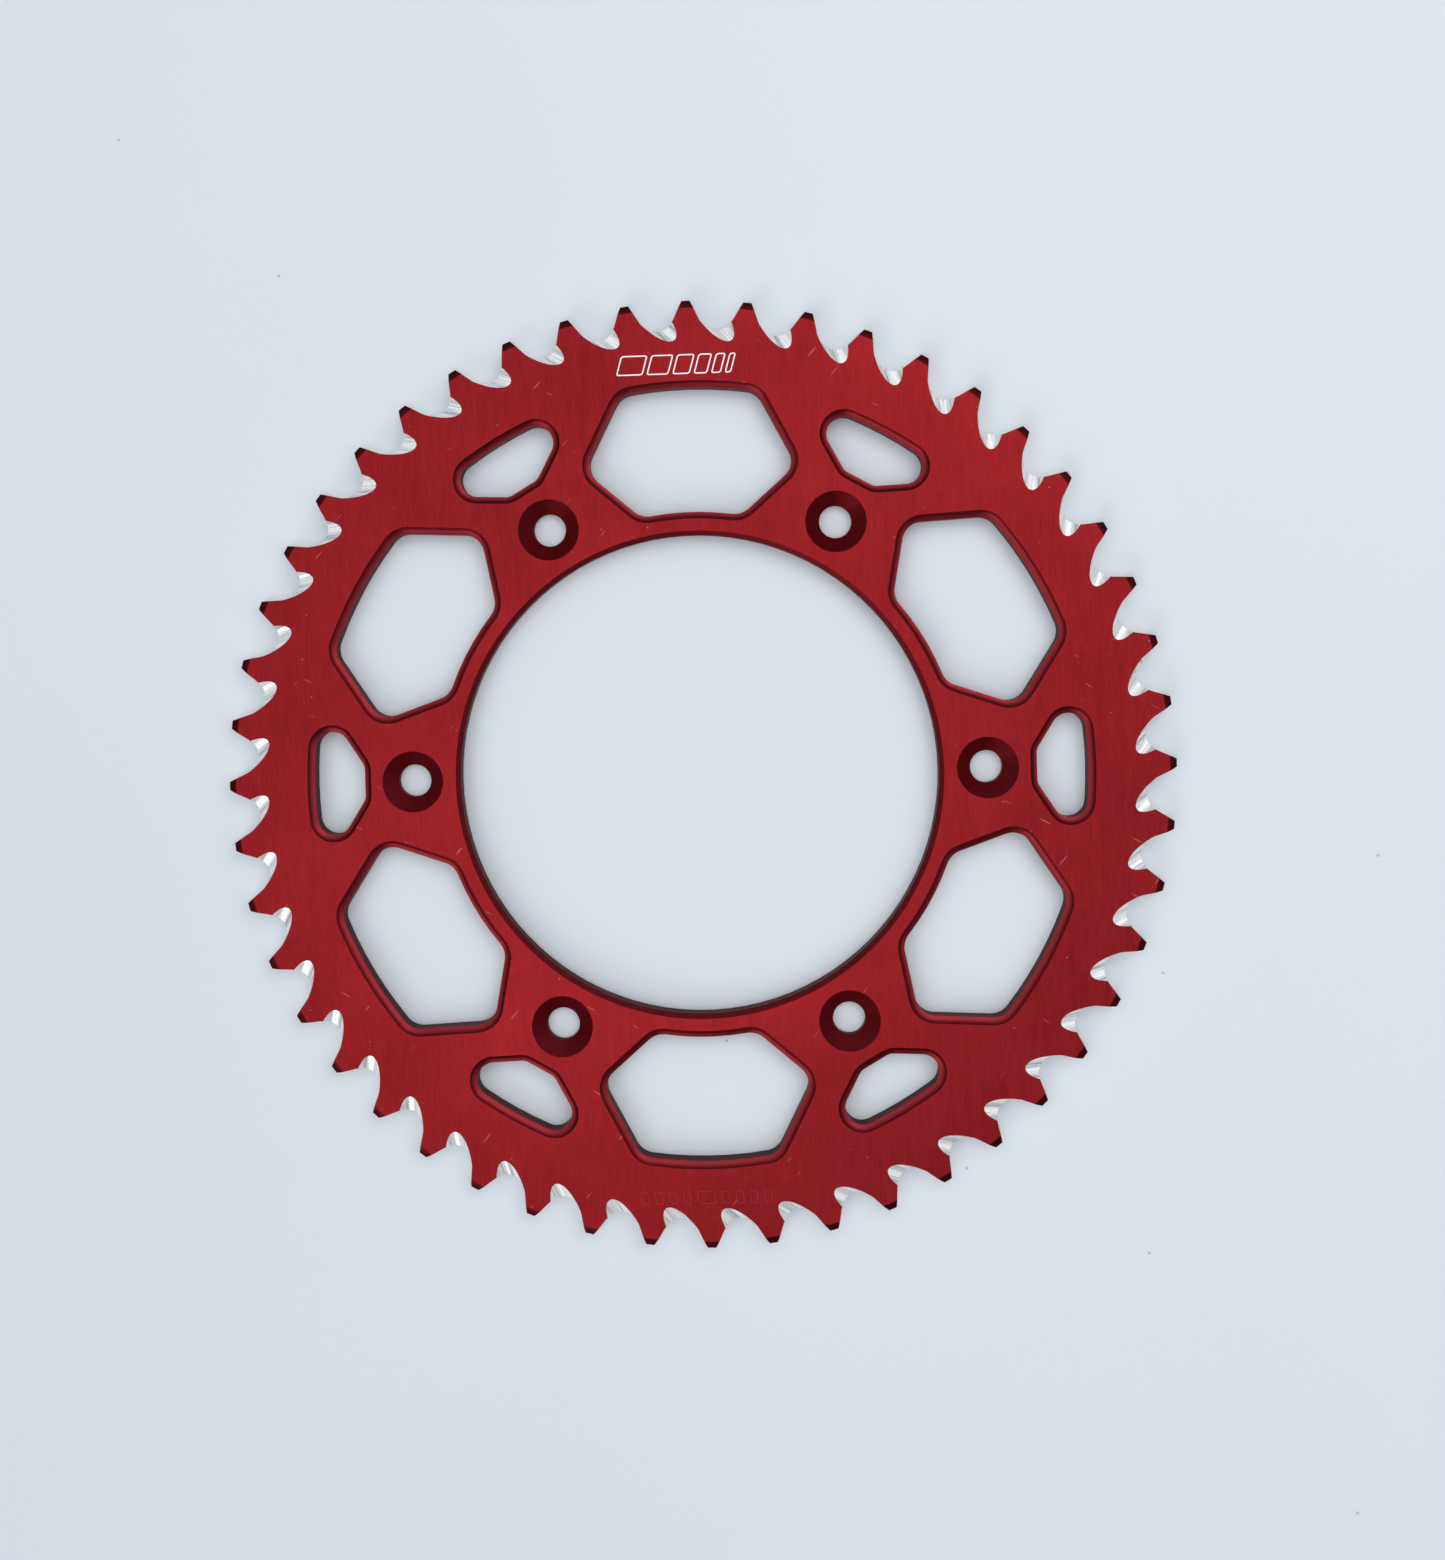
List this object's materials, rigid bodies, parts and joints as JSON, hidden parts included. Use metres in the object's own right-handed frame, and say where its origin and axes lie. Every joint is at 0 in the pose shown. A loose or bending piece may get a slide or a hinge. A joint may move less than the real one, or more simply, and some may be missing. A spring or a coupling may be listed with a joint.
{
  "type": "rear sprocket",
  "caption": "Flat toothed ring milled from one plate, with a hub bore, countersunk bolt holes, lightening windows and slanted mud reliefs in the tooth gaps.",
  "frame": {"origin": "centre of the bore on the back (hub) face, which is also the centre of the bottom of the bounding box", "axes": "+Z along the bore from the hub face to the outboard, countersunk face; +X through one bolt hole and the tooth outboard of it"},
  "size_m": [0.2475, 0.2474, 0.006],
  "materials": {
    "sprocket": "red anodised and brushed faces; bare machined tooth flanks and reliefs"
  },
  "bodies": {
    "root": {"sprocket": "sprocket"}
  },
  "joints": []
}
